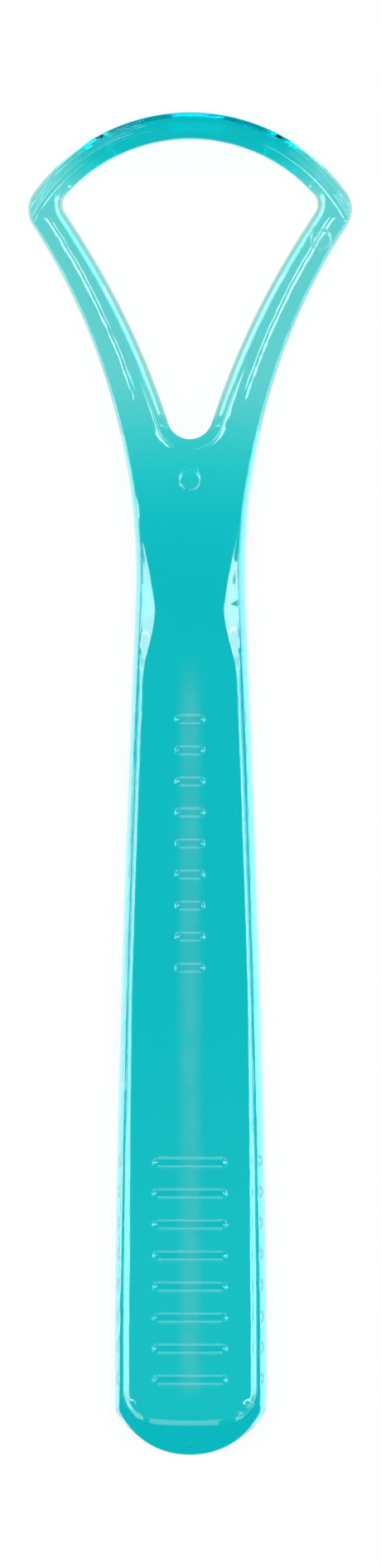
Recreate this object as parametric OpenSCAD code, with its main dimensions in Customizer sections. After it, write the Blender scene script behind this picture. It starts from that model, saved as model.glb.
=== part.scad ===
// Tongue scraper: one transparent moulding, drawn as the regions that do its jobs.
// It lies on its back along Y. The head loop is towards +Y and the channel of the handle faces up.

/* [Overall] */
// Length of the handle, from its end to the waist
handle_length = 105.2; // [95:0.1:120]
// Length of the head, from the waist to the top of the bow
head_length = 54.8; // [53:0.1:57]
// Width of the handle where it is widest
handle_w = 18.1; // [16.5:0.1:21]
// Width at the waist
waist_w = 13; // [12:0.1:14]
// Distance over which the handle widens below the waist
taper_length = 87; // [60:1:90]

/* [Head loop] */
// Outer radius of the bow, seen from above
bow_r = 22.9; // [22:0.1:24.5]
// Width of the bow's web along its radius
bow_band = 3.15; // [2.8:0.05:3.8]
// Radius that the outer edge of each arm sweeps through
arm_curve_r = 76; // [70:1:84]
// Width of an arm where it leaves the yoke
arm_root_w = 5.87; // [5:0.05:6.2]
// Width of an arm at the corner of the head
arm_tip_w = 4.05; // [3.6:0.05:4.6]
// Angle along the outer sweep at which the arms leave the yoke, in degrees
arm_root_angle = 12.5; // [11.5:0.1:13.5]
// Radius of the outer corners of the head
corner_r = 3.4; // [2.6:0.1:4]
// Radius of the corners of the opening
inner_corner_r = 1.8; // [1.2:0.1:2.2]
// Thickness of the head's plate
head_t = 1.3; // [1.2:0.05:2]
// Bevel on the top edges of the head
head_edge = 0.35; // [0.2:0.05:0.4]
// Width of the thin lip along the inner edge of each arm
lip_w = 0.5; // [0.4:0.05:0.8]
// Thickness of the lip
lip_t = 0.65; // [0.5:0.05:0.8]
// Width of the slope above the lip, at the top of the arm
lip_slope_w = 0.5; // [0.3:0.05:0.7]
// Height of that slope
lip_slope_h = 0.42; // [0.2:0.02:0.44]
// Width of the gentle slope that falls to the outer edge of the bow
bow_slope_w = 1.85; // [1.4:0.05:2.2]
// Height of that slope
bow_slope_h = 0.42; // [0.42:0.02:0.6]
// How much deeper the web of the bow is than the arms
bow_deepening = 2; // [1.4:0.1:2.2]

/* [Blade] */
// Height of the scraping blade's tip below the arms
blade_h = 2.8; // [2:0.1:3.5]
// Width of the blade where it joins the bow
blade_root_w = 2.2; // [1.6:0.05:2.6]
// Distance from the outer edge of the bow in to the blade's tip
blade_tip_inset = 0.75; // [0.4:0.05:1]
// Width of the blade's tip
blade_tip_w = 0.3; // [0.2:0.05:0.5]
// How far the blade's tip rises towards its ends
blade_end_rise = 2.5; // [1.5:0.1:2.6]

/* [Handle] */
// Thickness of the plate at the back of the handle
plate_t = 2.8; // [2.4:0.1:3.2]
// How much higher the floor of the channel lies at the neck than at the end
floor_rise = 0.5; // [0.2:0.05:0.6]
// Distance below the waist at which the floor stops rising towards the neck
floor_rise_end = 50; // [44:1:54]
// Distance over which it rises
floor_rise_length = 30; // [22:1:36]
// Height of the rails above the plate
rail_h = 0.9; // [0.8:0.1:1.1]
// Width of the flat top of a rail
rail_top_w = 0.4; // [0.3:0.05:0.8]
// Bevel on the outer top edge of a rail
rail_edge = 0.4; // [0.2:0.05:0.5]
// Width of the slope from the top of a rail down to the floor
rail_slope_w = 1; // [0.7:0.05:1.2]
// Length of the solid land at the end of the handle, on the middle line
land_length = 3.5; // [3:0.1:4.2]
// How far the radius of the handle's end exceeds half its width
end_bulge = 1.35; // [1:0.05:2]
// Radius of the corners at the end of the handle
end_corner_r = 2; // [1.5:0.1:3]

/* [Neck] */
// Distance below the waist at which the underside starts to rise
underside_start = 8; // [6:0.5:12]
// Distance above the waist at which the underside reaches the level of the arms
underside_end = 24.8; // [22:0.1:27]
// Distance below the waist at which the floor of the channel starts to rise
floor_start = 13; // [10:0.5:15]
// Distance above the waist at which the floor of the channel reaches the top
floor_end = 10.8; // [9:0.1:12]
// Distance above the waist at which the rails run out
rail_run_out = 6.4; // [5:0.1:7]
// Distance above the waist at which the neck meets the yoke
yoke_start = 8.8; // [8:0.1:10]
// Width of the slope of a rail where it is widest
facet_w = 2.3; // [1.8:0.1:2.8]
// Distance below the waist of the widest slope
facet_drop = 4.2; // [3:0.1:6]
// Distance below the waist at which the rails have their full section
rail_full_drop = 12.5; // [10:0.5:16]

/* [Surface details] */
// Number of narrow ribs under the thumb
thumb_rib_count = 9; // [6:1:10]
// Length of a narrow rib, across the handle
thumb_rib_l = 4.2; // [3:0.1:6]
// Height of a narrow rib above the floor of the channel
thumb_rib_h = 0.3; // [0.2:0.05:0.5]
// Distance from the waist down to the first narrow rib
thumb_rib_drop = 17.5; // [15:0.5:20]
// Number of wide ribs near the end of the handle
grip_rib_count = 8; // [5:1:8]
// Length of a wide rib, across the handle
grip_rib_l = 9.5; // [7:0.1:10.5]
// Height of a wide rib above the floor of the channel
grip_rib_h = 0.45; // [0.3:0.05:0.6]
// Distance from the end of the handle up to the first wide rib
grip_rib_rise = 9; // [8:0.5:10]
// Distance from one rib to the next
rib_pitch = 3.7; // [3:0.1:3.8]
// Radius that the top of a rib is rounded to
rib_r = 0.9; // [0.7:0.05:1.1]
// Radius of the round marks that the ejector pins left
pin_mark_r = 1.2; // [0.8:0.05:1.4]
// Depth of those marks
pin_mark_depth = 0.15; // [0.1:0.05:0.3]
// Distance from the top of the bow down to the marks on the arms
arm_mark_drop = 15.2; // [14:0.1:18]
// Distance above the waist of the mark on the yoke
yoke_mark_rise = 11; // [10.5:0.1:12]
// Radius of the stub that the gate left
gate_r = 0.35; // [0.25:0.05:0.5]
// Height of that stub
gate_h = 0.15; // [0.1:0.05:0.3]
// Distance from the end of the handle to the stub
gate_inset = 0.8; // [0.6:0.05:1.2]

/* [Hidden] */

// Segments of each kind of curve
ARC_STEPS = 8;
LAND_STEPS = 2;
RISE_STEPS = 6;
NECK_STEPS = 16;
ARM_STEPS = 14;
BOW_STEPS = 3;
WEB_STEPS = 36;
ROUND_FN = 96;
// How far a cut runs past the faces that it opens
overrun = 1;
// How the handle widens: 1 is straight, more is rounder
taper_power = 1.5;
// How the arms narrow: 1 is even, more is sooner
arm_power = 1.4;
// Angle from +X at which the bow takes over from the arms, in degrees
bow_start_angle = 48;
// Angle over which the bow deepens from there, in degrees
bow_deepening_angle = 14;
// Angle from +X at which the blade starts, before the corner cuts it, in degrees
blade_start_angle = 24;
// Angle from +X at which the blade's tip starts to fall from its end, in degrees
blade_fall_angle = 38;
// Angle from +X at which the blade has its full height, in degrees
blade_full_angle = 64;
// Share of the full rail's top that is left where the rails fade out in the neck
rail_fade_share = 0.3;
// Share of the widest slope that is left where the rails run out
run_out_share = 0.15;

// Places along the middle line, from the middle of the whole length
end_y = -(handle_length + head_length) / 2;
waist_y = end_y + handle_length;
top_y = waist_y + head_length;
plate_end_y = waist_y - max(rail_full_drop, floor_start);
rise_end_y = waist_y - floor_rise_end;
yoke_y = waist_y + yoke_start;

// Levels above the table
head_z = blade_h;
head_top = blade_h + head_t;
rail_top = plate_t + rail_h;

// Circles that shape the head, each a centre and a radius
bow_c = [0, top_y - bow_r];
bow_inner_r = bow_r - bow_band;
arm_c = [waist_w / 2 + arm_curve_r, waist_y];
corner_c = meeting(bow_c, bow_r - corner_r, arm_c, arm_curve_r + corner_r);
inner_c = meeting(bow_c, bow_inner_r - inner_corner_r, arm_c, arm_curve_r + arm_tip_w + inner_corner_r);
outer_arm_angle = atan2(corner_c.y - arm_c.y, arm_c.x - corner_c.x);
inner_arm_angle = atan2(inner_c.y - arm_c.y, arm_c.x - inner_c.x);
outer_bow_angle = atan2(corner_c.y - bow_c.y, corner_c.x - bow_c.x);
inner_bow_angle = atan2(inner_c.y - bow_c.y, inner_c.x - bow_c.x);
arm_root_y = arm_c.y + arm_curve_r * sin(arm_root_angle);

// The bottom of the V is a round that leaves both inner edges at the root of the arms
arm_root_in = inner_arm_point(arm_root_angle);
arm_root_next = inner_arm_point(arm_root_angle + 1);
root_lean = atan2(arm_root_next.x - arm_root_in.x, arm_root_next.y - arm_root_in.y);
crotch_r = arm_root_in.x / cos(root_lean);
crotch_c = [0, arm_root_in.y + crotch_r * sin(root_lean)];

// The end of the handle: a wide round with a smaller one at each corner
end_r = handle_w / 2 + end_bulge;
end_corner_x = handle_w / 2 - end_corner_r;
end_corner_drop = sqrt(pow(end_r - end_corner_r, 2) - pow(end_corner_x, 2));
end_c = [0, end_y + end_r];
end_corner_c = [end_corner_x, end_c.y - end_corner_drop];
end_corner_angle = atan2(end_corner_drop, end_corner_x);
land_y = end_corner_c.y + rail_slope_w;

// Stations along the handle and the neck
rise_start_y = rise_end_y - floor_rise_length;
handle_ys = concat(
    between(land_y, rise_start_y, LAND_STEPS),
    tail(between(rise_start_y, rise_end_y, RISE_STEPS)),
    tail(between(rise_end_y, plate_end_y, RISE_STEPS))
);
neck_ys = between(plate_end_y, yoke_y, NECK_STEPS);
facet_ys = [for (y = neck_ys) if (y <= waist_y + rail_run_out) y];

function between(a, b, steps) = [for (i = [0:steps]) a + (b - a) * i / steps];
function clamp(t) = max(0, min(1, t));
function ease(t) = pow(clamp(t), 2) * (3 - 2 * clamp(t));
function mix(a, b, t) = a + (b - a) * t;
function backwards(list) = [for (i = [len(list) - 1:-1:0]) list[i]];
function mirrored(points) = [for (p = backwards(points)) [-p.x, p.y]];
function arc(c, r, a0, a1) = [for (a = between(a0, a1, ARC_STEPS)) c + r * [cos(a), sin(a)]];

// The crossing of two circles that lies furthest from the waist
function meeting(c0, r0, c1, r1) =
    let (
        d = norm(c1 - c0),
        along = (d * d + r0 * r0 - r1 * r1) / (2 * d),
        across = sqrt(r0 * r0 - along * along),
        u = (c1 - c0) / d
    )
    c0 + along * u + across * [-u.y, u.x];

// Half the width of the handle and the neck at a place along them
function half_w(y) =
    y > waist_y
    ? arm_c.x - sqrt(pow(arm_curve_r, 2) - pow(y - waist_y, 2))
    : mix(waist_w, handle_w, 1 - pow(1 - clamp((waist_y - y) / taper_length), taper_power)) / 2;

// Levels of the underside, the floor and the rails
function under_z(y) = head_z * ease((y - waist_y + underside_start) / (underside_end + underside_start));
function plate_z(y) = plate_t + floor_rise * clamp((y - rise_end_y) / floor_rise_length + 1);
function neck_share(y) = ease((y - waist_y + floor_start) / (floor_end + floor_start));
function floor_z(y) = mix(plate_z(y), head_top, neck_share(y));
function crest_z(y) = mix(rail_top, head_top, neck_share(y));

// How full the top of a rail is, and how wide its slope is
function rail_fading(y) = ease((y - waist_y + rail_full_drop) / (rail_full_drop - facet_drop));
function rail_share(y) = mix(1, rail_fade_share, rail_fading(y));
function slope_w(y) =
    y < waist_y - facet_drop
    ? mix(rail_slope_w * (crest_z(y) - floor_z(y)) / rail_h, facet_w, rail_fading(y))
    : facet_w * mix(1, run_out_share, (y - waist_y + facet_drop) / (rail_run_out + facet_drop));

// Points on the two edges of the right arm, by their angle along the sweep
function outer_arm_point(a) = arm_c + arm_curve_r * [-cos(a), sin(a)];
function arm_place(a) = clamp((a - arm_root_angle) / (inner_arm_angle - arm_root_angle));
function arm_w(a) = mix(arm_tip_w, arm_root_w, pow(1 - arm_place(a), arm_power));
function inner_arm_point(a) = arm_c + (arm_curve_r + arm_w(a)) * [-cos(a), sin(a)];

// Both edges of the right arm, from the yoke round the corner to the bow
outer_edge = concat(
    [for (a = between(arm_root_angle, outer_arm_angle, ARM_STEPS)) outer_arm_point(a)],
    tail(arc(corner_c, corner_r, -outer_arm_angle, outer_bow_angle)),
    tail(bow_edge(bow_r, outer_bow_angle))
);
inner_edge = concat(
    [for (a = between(arm_root_angle, inner_arm_angle, ARM_STEPS)) inner_arm_point(a)],
    tail(arc(inner_c, inner_corner_r, -inner_arm_angle, inner_bow_angle)),
    tail(bow_edge(bow_inner_r, inner_bow_angle))
);
LIP_END = ARM_STEPS + ARC_STEPS - 1;

function tail(list) = [for (i = [1:len(list) - 1]) list[i]];
function bow_edge(r, a0) = [for (a = between(a0, bow_start_angle, BOW_STEPS)) bow_c + r * [cos(a), sin(a)]];

// What is left of the lip at a station of the arm, and the levels of its top and of the slope above it
function lip_share(i) = clamp((LIP_END + 1 - i) / (ARC_STEPS / 2));
function lip_top(i) = mix(head_top - head_edge, head_z + lip_t, lip_share(i));
function lip_slope_z(i) = head_top - mix(head_edge, lip_slope_h, lip_share(i));

// Points of the arm's section at a station, from how far they lie in from the inner edge
function arm_side(i) = outer_edge[i] - inner_edge[i];
function arm_xy(i, s) = inner_edge[i] + s * arm_side(i) / norm(arm_side(i));
function arm_at(i, s, z) = let (p = arm_xy(i, s)) [p.x, p.y, z];
function arm_under(i, s) = let (p = arm_xy(i, s)) [p.x, p.y, under_z(p.y)];

// Points of the bow's section at an angle, and the levels of its underside and of the blade's tip there
function bow_at(a, r, z) = [bow_c.x + r * cos(a), bow_c.y + r * sin(a), z];
function from_end(a) = min(a, 180 - a);
function web_z(a) = head_z - bow_deepening * ease((from_end(a) - bow_start_angle) / bow_deepening_angle);
function tip_z(a) =
    blade_end_rise * (1 - ease((from_end(a) - blade_fall_angle) / (blade_full_angle - blade_fall_angle)));

// A skin over rings of points, closed at both ends
module loft(rings) {
    n = len(rings[0]);
    last = (len(rings) - 1) * n;
    sides = [
        for (i = [0:len(rings) - 2])
        for (j = [0:n - 1])
        let (a = i * n + j, b = i * n + (j + 1) % n)
        each [[a, b, b + n], [a, b + n, a + n]]
    ];
    caps = [[for (j = [n - 1:-1:0]) j], [for (j = [0:n - 1]) last + j]];
    polyhedron([for (ring = rings) each ring], concat(sides, caps));
}

// The outline of the handle from its end up to a list of stations
module handle_outline(ys) {
    side = concat(
        arc(end_c, end_r, -90, -end_corner_angle),
        tail(arc(end_corner_c, end_corner_r, -end_corner_angle, 0)),
        [for (y = ys) [half_w(y), y]]
    );
    polygon(concat(side, mirrored(tail(side))));
}

// Everything between two lists of levels along Y, across the whole width
module side_slab(ys, lows, highs) {
    steps = [0:len(ys) - 1];
    rotate([90, 0, 90])
        linear_extrude(2 * handle_w, center = true)
            polygon(concat(
                [for (i = steps) [ys[i], lows[i]]],
                backwards([for (i = steps) [ys[i], highs[i]]])
            ));
}

module handle_plate() {
    ys = [end_y, rise_start_y, rise_end_y, plate_end_y];
    color([0.12, 0.75, 0.78])
        intersection() {
            linear_extrude(rail_top) handle_outline(handle_ys);
            side_slab(ys, [for (y = ys) 0], [for (y = ys) floor_z(y)]);
        }
}

module rail(ys) {
    loft([
        for (y = ys)
        let (
            w = half_w(y),
            foot = floor_z(y),
            top = crest_z(y),
            edge = min(rail_edge * rail_share(y), (top - foot) / 2),
            flat_x = w - edge - rail_top_w * rail_share(y)
        )
        [
            [w, y, foot],
            [w, y, top - edge],
            [w - edge, y, top],
            [flat_x, y, top],
            [flat_x - slope_w(y), y, foot]
        ]
    ]);
}

module right_rail() {
    color([0.45, 0.88, 0.89])
        rail(handle_ys);
}

module left_rail() {
    color([0.45, 0.88, 0.89])
        mirror([1, 0, 0]) rail(handle_ys);
}

module right_facet() {
    color([0.75, 0.95, 0.95])
        rail(facet_ys);
}

module left_facet() {
    color([0.75, 0.95, 0.95])
        mirror([1, 0, 0]) rail(facet_ys);
}

module end_land() {
    rise = land_y - end_y - land_length;
    top_x = half_w(land_y) - rail_edge - rail_top_w;
    foot_x = top_x - rail_slope_w;
    cut_top_r = (pow(top_x, 2) + pow(rise, 2)) / (2 * rise);
    cut_foot_r = norm([foot_x, cut_top_r - rise]);
    growth = (cut_top_r - cut_foot_r) / rail_h;
    color([0, 0.72, 0.75])
        difference() {
            translate([0, 0, plate_t])
                linear_extrude(rail_h) handle_outline([land_y]);
            translate([0, land_y + cut_top_r - rise, plate_t - overrun])
                cylinder(
                    h = rail_h + 2 * overrun,
                    r1 = cut_foot_r - growth * overrun,
                    r2 = cut_top_r + growth * overrun,
                    $fn = ROUND_FN
                );
        }
}

module neck() {
    side = [for (y = neck_ys) [half_w(y), y]];
    color([0.12, 0.75, 0.78])
        intersection() {
            linear_extrude(head_top) polygon(concat(side, mirrored(side)));
            side_slab(neck_ys, [for (y = neck_ys) under_z(y)], [for (y = neck_ys) floor_z(y)]);
        }
}

module yoke() {
    ys = between(yoke_y, crotch_c.y + crotch_r, NECK_STEPS);
    flank = [for (y = between(yoke_y, arm_root_y, ARC_STEPS)) [half_w(y), y]];
    side = concat(flank, backwards(arc(crotch_c, crotch_r, -90, -root_lean)));
    color([0.2, 0.76, 0.78])
        difference() {
            intersection() {
                linear_extrude(head_top) polygon(concat(side, mirrored([for (p = side) if (p.x > 0) p])));
                side_slab(ys, [for (y = ys) under_z(y)], [for (y = ys) floor_z(y)]);
            }
            translate([0, waist_y + yoke_mark_rise, head_top - pin_mark_depth])
                cylinder(h = overrun, r = pin_mark_r, $fn = ROUND_FN);
        }
}

module arm() {
    mark_y = top_y - arm_mark_drop;
    mark_x = half_w(mark_y) - arm_tip_w / 2;
    difference() {
        loft([
            for (i = [0:len(outer_edge) - 1])
            let (
                w = norm(arm_side(i)),
                lip = lip_w * lip_share(i),
                slope = mix(head_edge, lip_slope_w, lip_share(i))
            )
            [
                arm_under(i, lip),
                arm_under(i, w),
                arm_at(i, w, head_top - head_edge),
                arm_at(i, w - head_edge, head_top),
                arm_at(i, lip + slope, head_top),
                arm_at(i, lip, lip_slope_z(i))
            ]
        ]);
        translate([mark_x, mark_y, head_top - pin_mark_depth])
            cylinder(h = overrun, r = pin_mark_r, $fn = ROUND_FN);
        bow_slope_cut();
    }
}

// What the slope along the outer edge of the bow takes off the corners of the head
module bow_slope_cut() {
    fall = bow_slope_h / bow_slope_w;
    slope_r = bow_r - bow_slope_w;
    translate([bow_c.x, bow_c.y, head_top])
        rotate_extrude($fn = ROUND_FN)
            polygon([
                [slope_r - overrun, fall * overrun],
                [bow_r + overrun, -bow_slope_h - fall * overrun],
                [bow_r + overrun, overrun],
                [slope_r - overrun, overrun]
            ]);
}

module right_arm() {
    color([0.38, 0.81, 0.81])
        arm();
}

module left_arm() {
    color([0.38, 0.81, 0.81])
        mirror([1, 0, 0]) arm();
}

module lip() {
    loft([
        for (i = [0:LIP_END])
        let (lip = lip_w * lip_share(i))
        [
            arm_under(i, 0),
            arm_under(i, lip),
            arm_at(i, lip, lip_top(i)),
            arm_at(i, 0, lip_top(i))
        ]
    ]);
}

module right_lip() {
    color([0.78, 0.95, 0.94])
        lip();
}

module left_lip() {
    color([0.78, 0.95, 0.94])
        mirror([1, 0, 0]) lip();
}

module bow() {
    color([0, 0.72, 0.71])
        loft([
            for (a = between(bow_start_angle, 180 - bow_start_angle, WEB_STEPS))
            [
                bow_at(a, bow_inner_r, web_z(a)),
                bow_at(a, bow_r, web_z(a)),
                bow_at(a, bow_r, head_top - bow_slope_h),
                bow_at(a, bow_r - bow_slope_w, head_top),
                bow_at(a, bow_inner_r + head_edge, head_top),
                bow_at(a, bow_inner_r, head_top - head_edge)
            ]
        ]);
}

// The outline that the outer corners of the head cut the blade to
module corner_outline() {
    flank = [for (i = [0:ARM_STEPS + ARC_STEPS]) outer_edge[i]];
    onward = outer_edge[ARM_STEPS + ARC_STEPS] + bow_band * [-sin(outer_bow_angle), cos(outer_bow_angle)];
    side = concat(flank, [onward]);
    polygon(concat(side, [[0, top_y + bow_r]], mirrored(side)));
}

module scraping_blade() {
    tip_r = bow_r - blade_tip_inset;
    side = between(blade_start_angle, bow_start_angle, ARC_STEPS);
    over = between(bow_start_angle, 180 - bow_start_angle, WEB_STEPS);
    color([0, 0.56, 0.57])
        intersection() {
            loft([
                for (a = concat(side, tail(over), tail(backwards([for (a = side) 180 - a]))))
                [
                    bow_at(a, tip_r - blade_tip_w, tip_z(a)),
                    bow_at(a, tip_r, tip_z(a)),
                    bow_at(a, bow_r, web_z(a)),
                    bow_at(a, bow_r - blade_root_w, web_z(a))
                ]
            ]);
            linear_extrude(head_z) corner_outline();
        }
}

// A round-topped rib across the floor of the channel, centred at a place along the handle
module rib(y, length, height) {
    reach = length / 2 - rib_r;
    lean = atan2(floor_z(y + rib_r) - floor_z(y - rib_r), 2 * rib_r);
    translate([0, y, floor_z(y)])
        rotate([lean, 0, 0])
            intersection() {
                translate([0, 0, height - rib_r]) {
                    rotate([0, 90, 0]) cylinder(h = 2 * reach, r = rib_r, center = true, $fn = ROUND_FN);
                    for (side = [-1, 1]) translate([side * reach, 0, 0]) sphere(r = rib_r, $fn = ROUND_FN);
                }
                translate([-length, -rib_pitch, 0])
                    cube([2 * length, 2 * rib_pitch, 2 * height]);
            }
}

module thumb_ribs() {
    color([0.55, 0.9, 0.9])
        for (i = [0:thumb_rib_count - 1])
            rib(waist_y - thumb_rib_drop - i * rib_pitch, thumb_rib_l, thumb_rib_h);
}

module grip_ribs() {
    color([0.55, 0.9, 0.9])
        for (i = [0:grip_rib_count - 1])
            rib(end_y + grip_rib_rise + i * rib_pitch, grip_rib_l, grip_rib_h);
}

module gate_mark() {
    color([0.6, 0.92, 0.92])
        translate([0, end_y + gate_inset, rail_top])
            cylinder(h = gate_h, r = gate_r, $fn = ROUND_FN);
}

handle_plate();
left_rail();
right_rail();
left_facet();
right_facet();
end_land();
neck();
yoke();
left_arm();
right_arm();
left_lip();
right_lip();
bow();
scraping_blade();
thumb_ribs();
grip_ribs();
gate_mark();
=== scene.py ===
# Tongue scraper: the look of the one-piece transparent moulding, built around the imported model.
import math

import bpy
import numpy as np
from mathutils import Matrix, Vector
from mathutils.geometry import delaunay_2d_cdt


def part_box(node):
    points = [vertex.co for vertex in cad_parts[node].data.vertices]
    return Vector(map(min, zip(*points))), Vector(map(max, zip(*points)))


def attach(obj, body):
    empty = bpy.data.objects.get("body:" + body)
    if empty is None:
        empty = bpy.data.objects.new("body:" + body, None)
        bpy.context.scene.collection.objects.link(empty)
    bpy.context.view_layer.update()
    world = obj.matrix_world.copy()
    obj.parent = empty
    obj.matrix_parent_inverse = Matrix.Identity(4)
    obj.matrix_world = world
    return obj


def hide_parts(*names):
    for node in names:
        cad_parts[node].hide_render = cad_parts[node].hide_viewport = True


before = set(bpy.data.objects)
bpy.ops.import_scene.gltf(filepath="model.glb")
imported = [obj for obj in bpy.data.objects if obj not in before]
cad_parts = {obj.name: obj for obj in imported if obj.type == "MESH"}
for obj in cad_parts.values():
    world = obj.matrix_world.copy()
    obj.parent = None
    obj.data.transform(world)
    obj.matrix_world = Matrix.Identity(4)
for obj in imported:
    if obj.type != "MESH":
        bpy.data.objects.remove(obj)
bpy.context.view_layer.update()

# Sizes are in millimetres, and become metres when a mesh is made
MM = 0.001

# Outline, as in the CAD model
WAIST_RISE = 105.2
HANDLE_W = 18.1
WAIST_W = 13.0
TAPER_LENGTH = 87.0
TAPER_POWER = 1.5
WAIST_ROUND = 2.6
BOW_R = 22.9
BOW_BAND = 3.15
ARM_CURVE_R = 76.0
ARM_ROOT_W = 5.87
ARM_TIP_W = 4.05
ARM_ROOT_ANGLE = 12.5
ARM_POWER = 1.4
CORNER_R = 3.4
INNER_CORNER_R = 1.8
END_BULGE = 1.35
END_CORNER_R = 2.0

# Levels along the middle line, as in the CAD model
UNDERSIDE_START = 8.0
UNDERSIDE_END = 24.8
FLOOR_START = 13.0
FLOOR_END = 10.8
FLOOR_RISE = 0.5
FLOOR_RISE_END = 50.0
FLOOR_RISE_LENGTH = 30.0

# Rails, land, lip and blade, as in the CAD model
RAIL_TOP_W = 0.4
RAIL_EDGE = 0.4
RAIL_FULL_DROP = 12.5
RAIL_FADE_SHARE = 0.3
FACET_W = 2.3
FACET_DROP = 4.2
RAIL_RUN_OUT = 6.4
RUN_OUT_SHARE = 0.15
LAND_LENGTH = 3.5
LIP_W = 0.5
LIP_T = 0.65
LIP_SLOPE_W = 0.5
LIP_SLOPE_H = 0.42
LIP_START = (2.6, 2.5)
LIP_END = (2.2, 1.6)
ARM_T = 1.3
BOW_SLOPE_W = 1.85
BOW_SLOPE_H = 0.42
BOW_DEEPENING = 2.0
BLADE_ROOT_W = 2.2
BLADE_TIP_INSET = 0.75
BLADE_TIP_W = 0.3
BLADE_START_ANGLE = 24.0

# Ribs and marks, as in the CAD model
RIB_PITCH = 3.7
RIB_R = 0.9
THUMB_RIBS = 9
THUMB_RIB_L = 4.2
THUMB_RIB_H = 0.3
THUMB_RIB_DROP = 17.5
GRIP_RIBS = 8
GRIP_RIB_L = 9.5
GRIP_RIB_H = 0.45
GRIP_RIB_RISE = 9.0
PIN_MARK_R = 1.2
PIN_MARK_DEPTH = 0.15
ARM_MARK_DROP = 15.2
YOKE_MARK_RISE = 11.0
GATE_R = 0.35
GATE_H = 0.15
GATE_INSET = 0.8

# Draft and rounding, in degrees and millimetres, that only the visual model has
DRAFT_ANGLE = 9.5
HANDLE_DRAFT_ANGLE = 8.5
HANDLE_DRAFT_YS = (0.0, 20.0)
LAND_DRAFT_ANGLE = 1.5
LAND_DRAFT_L = 6.0
DRAFT_END_ANGLE = 50.0
FADE_ANGLE = 10.0
TOP_EDGE_R = 0.13
UNDER_EDGE_R = 0.12
LIP_DRAFT_W = 0.18
LEAST_WALL_W = 0.02
STEP_W = 0.06
RAMP_BLEND = 0.1
RAMP_MARGIN = 0.07
BOW_SLOPE_BLEND = 0.04

# The channel's sides and end, the underside and the blade, where they depart a little from the CAD model.
# A pair holds the value of the low and of the raised floor
FLAT_EXTRA_WS = (0.25, 0.12)
EVEN_DEPTHS = (0.55, 0.33)
EVEN_RUN = 1.07
STEEP_RUN = 0.25
CHANNEL_END_R = 45.0
CHANNEL_CORNER_R = 3.2
UNDERSIDE_POWER = 1.25
BLADE_END_DEPTH = 0.12
BLADE_FALL_ANGLE = 43.0
BLADE_FULL_ANGLE = 66.0

# Fine relief that only the visual model has, and the room that it takes under the top of the head
RELIEF_ROOM = 0.075
RIDGE_W = 0.85
RIDGE_H = 0.064
RIDGE_H_SHARES = (0.95, 0.12)
RIDGE_H_WAVES = (5.1, 2.3, 1.3)
RIDGE_SWAY = 0.05
RIDGE_SWAY_WAVES = (7.3, 3.1, 1.7)
RIDGE_START = (44.5, 3)
RIDGE_END = (69.0, 2)
CREASE_GAP = 1.4
CREASE_W = 0.4
CREASE_H = 0.05
CREASE_START = (36, 2)
CREASE_END = (53.0, 8)
BOW_GROOVES = (0.45, 0.8, 1.15, 1.5)
BOW_GROOVE_W = 0.2
BOW_GROOVE_H = 0.02
BOW_GROOVE_END = (60, 16)
ROOT_LINE_W = 0.24
ROOT_LINE_H = 0.03
MARK_WALL_W = 0.18
MARK_ROUGHNESS = 0.005
TIP_ROUGHNESS = 0.012
FROST_INSET = 0.68
FROST_W = 0.36
FROST_H = 0.008
SWELL_H = 0.005
SWELL_WAVES_ACROSS = (7.9, 5.3)
SWELL_WAVES_ALONG = (11.3, 6.1, 3.7)
CHANCE_SEED = 7

# The plastic: its refraction, tint and absorption
PLASTIC_IOR = 1.5
PLASTIC_TINT = (0.88, 0.735, 0.69, 1)
ABSORPTION_COLOUR = (0.122, 0.952, 0.971, 1)
ABSORPTION_DENSITY = 1800.0

# Painted highlights, made as haze, and roughness of the plastic. Places are in metres
NOISE_SCALE = 420.0
NOISE_DETAIL = 4.0
PAINTED_PALENESS_NOISE = (0.3, 0.7, 0.75, 1.25)
ROUGHNESS_NOISE = (0.35, 0.65)
# A painted highlight: a faintly hazy streak down the middle of the handle, which renders paler in place of
# the reflection of a soft light on its floor
PAINTED_STREAK_EDGE = (0.0001, 0.0019)
PAINTED_STREAK_TOP = (0.0085, 0.0165)
PAINTED_STREAK_END = (-0.0735, -0.0715)
PAINTED_STREAK_STRENGTH = 0.035
# A painted sheen: the head is made faintly hazy, so that it renders paler in place of the lamps' reflections
# on it
PAINTED_HEAD_SHEEN_RISE = (0.038, 0.05)
PAINTED_HEAD_SHEEN_FALL = (0.066, 0.073)
PAINTED_HEAD_SHEEN = 0.02
ROUGHNESSES = (0.014, 0.034)

# Mesh spacing, and the shares of a width or a radius at which lines run
EDGE_STEP = 0.4
FILL_STEP = 0.65
FILL_REACH = 20
CLEARANCE = 0.3
SHARP_ANGLE = 35
RAMP_SHARES = (-0.1, 0, 0.1, 0.3, 0.5, 0.7, 0.9, 1, 1.1)
STEEP_SHARES = (-0.15, 0.15, 0.5)
STEEP_LINES_DROP = 4
WALL_SHARES = (0.25, 0.5, 0.75, 1)
UNDER_EDGE_SHARES = (0.3, 1)
STEP_SHARES = (-1, -0.5, -0.2, 0.2, 0.5, 1)
LIP_SLOPE_SHARES = (0.35, 0.6, 0.9, 1, 1.1)
LIP_WALL_MARGIN = 0.03
RIDGE_SHARES = (-0.55, 0.55, 11)
RIDGE_ANGLE_STEP = 0.3
CREASE_SHARES = (-0.5, -0.25, 0, 0.25, 0.5)
GROOVE_SHARES = (-0.5, -0.2, 0, 0.2, 0.5)
RIB_SHARES = (1.08, 1, 0.94, 0.85, 0.7, 0.5, 0.25)
MARK_SHARES = (0.15, 0.85, 0.15)
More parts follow.
